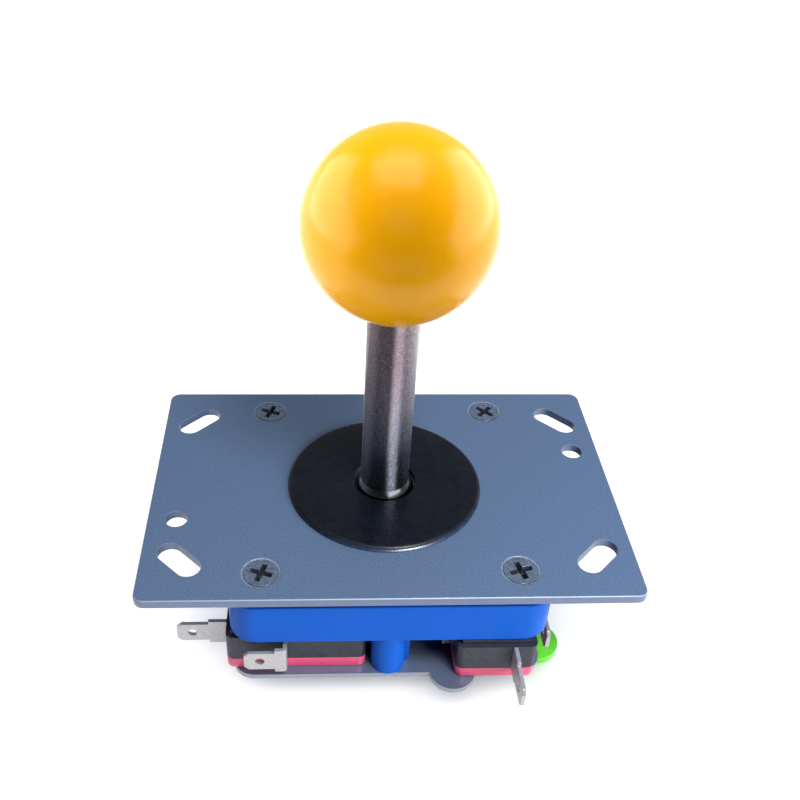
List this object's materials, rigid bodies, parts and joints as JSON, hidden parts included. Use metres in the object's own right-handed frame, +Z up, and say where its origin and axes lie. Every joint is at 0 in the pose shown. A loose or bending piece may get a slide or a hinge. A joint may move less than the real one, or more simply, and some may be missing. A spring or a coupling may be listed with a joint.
{
  "type": "arcade joystick lever",
  "caption": "Ball-top arcade joystick lever on a flat mounting plate, with a sprung pivot, a ring of side switches and a turnable restrictor gate under a moulded housing.",
  "frame": {"origin": "on the lever axis, at the top face of the mounting plate", "axes": "+Z up along the lever at rest, X along the mounting plate's long side, -Y the front in the picture"},
  "size_m": [0.097, 0.0846, 0.106],
  "materials": {
    "plate_steel": "zinc-plated, satin, slate blue-grey",
    "screw_steel": "bright zinc",
    "black_plastic": "satin moulded",
    "blue_plastic": "satin gloss moulded",
    "dark_steel": "dark mirror-like plating",
    "white_nylon": "satin nylon",
    "yellow_plastic": "high gloss",
    "insert_brass": "plain",
    "bright_steel": "turned and polished",
    "spring_steel": "plain",
    "green_plastic": "satin gloss",
    "red_plastic": "satin gloss",
    "terminal_metal": "tin-plated"
  },
  "bodies": {
    "base": {"mounting_plate": "plate_steel", "plate_screws": "screw_steel", "dust_washer": "black_plastic", "base_housing": "blue_plastic", "bottom_plate": "dark_steel", "bottom_screws": "screw_steel", "switch_front_case": "black_plastic", "switch_front_cover": "red_plastic", "switch_front_common_terminal": "terminal_metal", "switch_front_open_terminal": "terminal_metal", "switch_right_case": "black_plastic", "switch_right_cover": "red_plastic", "switch_right_common_terminal": "terminal_metal", "switch_right_open_terminal": "terminal_metal", "switch_back_case": "black_plastic", "switch_back_cover": "red_plastic", "switch_back_common_terminal": "terminal_metal", "switch_back_open_terminal": "terminal_metal", "switch_left_case": "black_plastic", "switch_left_cover": "red_plastic", "switch_left_common_terminal": "terminal_metal", "switch_left_open_terminal": "terminal_metal"},
    "pivot": {"pivot_bushing": "white_nylon"},
    "lever": {"ball_top": "yellow_plastic", "ball_insert": "insert_brass", "shaft": "bright_steel", "pivot_ball": "bright_steel", "return_spring": "spring_steel", "actuator": "white_nylon", "shaft_clip": "spring_steel"},
    "gate": {"restrictor_gate": "green_plastic"},
    "front_switch_lever": {"switch_front_lever": "spring_steel"},
    "front_switch_plunger": {"switch_front_plunger": "white_nylon"},
    "right_switch_lever": {"switch_right_lever": "spring_steel"},
    "right_switch_plunger": {"switch_right_plunger": "white_nylon"},
    "back_switch_lever": {"switch_back_lever": "spring_steel"},
    "back_switch_plunger": {"switch_back_plunger": "white_nylon"},
    "left_switch_lever": {"switch_left_lever": "spring_steel"},
    "left_switch_plunger": {"switch_left_plunger": "white_nylon"}
  },
  "joints": [
    {"name": "lever_tilt_fore_aft", "type": "hinge", "parent": "base", "child": "pivot", "pos_m": [0, 0, -0.002], "axis": [1, 0, 0], "range_deg": [-8, 8], "stiffness_Nm_per_rad": 0.5, "deforming": ["return_spring"]},
    {"name": "lever_tilt_sideways", "type": "hinge", "parent": "pivot", "child": "lever", "pos_m": [0, 0, -0.002], "axis": [0, 1, 0], "range_deg": [-8, 8], "stiffness_Nm_per_rad": 0.5, "deforming": ["return_spring"]},
    {"name": "gate_turn", "type": "hinge", "parent": "base", "child": "gate", "pos_m": [0, 0, -0.0243], "axis": [0, 0, 1], "range_deg": [0, 45]},
    {"name": "front_switch_lever_press", "type": "hinge", "parent": "base", "child": "front_switch_lever", "pos_m": [-0.026, -0.0137, -0.018], "axis": [0, 0, -1], "range_deg": [0, 3.5], "stiffness_Nm_per_rad": 0.05},
    {"name": "front_switch_plunger_press", "type": "slide", "parent": "base", "child": "front_switch_plunger", "axis": [0, -1, 0], "range_m": [0, 0.0008]},
    {"name": "right_switch_lever_press", "type": "hinge", "parent": "base", "child": "right_switch_lever", "pos_m": [0.0137, -0.026, -0.018], "axis": [0, 0, -1], "range_deg": [0, 3.5], "stiffness_Nm_per_rad": 0.05},
    {"name": "right_switch_plunger_press", "type": "slide", "parent": "base", "child": "right_switch_plunger", "axis": [1, 0, 0], "range_m": [0, 0.0008]},
    {"name": "back_switch_lever_press", "type": "hinge", "parent": "base", "child": "back_switch_lever", "pos_m": [0.026, 0.0137, -0.018], "axis": [0, 0, -1], "range_deg": [0, 3.5], "stiffness_Nm_per_rad": 0.05},
    {"name": "back_switch_plunger_press", "type": "slide", "parent": "base", "child": "back_switch_plunger", "axis": [0, 1, 0], "range_m": [0, 0.0008]},
    {"name": "left_switch_lever_press", "type": "hinge", "parent": "base", "child": "left_switch_lever", "pos_m": [-0.0137, 0.026, -0.018], "axis": [0, 0, -1], "range_deg": [0, 3.5], "stiffness_Nm_per_rad": 0.05},
    {"name": "left_switch_plunger_press", "type": "slide", "parent": "base", "child": "left_switch_plunger", "axis": [-1, 0, 0], "range_m": [0, 0.0008]}
  ],
  "couplings": [
    {"joint": "front_switch_plunger_press", "follows": "front_switch_lever_press", "m_per_rad": 0.013},
    {"joint": "right_switch_plunger_press", "follows": "right_switch_lever_press", "m_per_rad": 0.013},
    {"joint": "back_switch_plunger_press", "follows": "back_switch_lever_press", "m_per_rad": 0.013},
    {"joint": "left_switch_plunger_press", "follows": "left_switch_lever_press", "m_per_rad": 0.013}
  ]
}
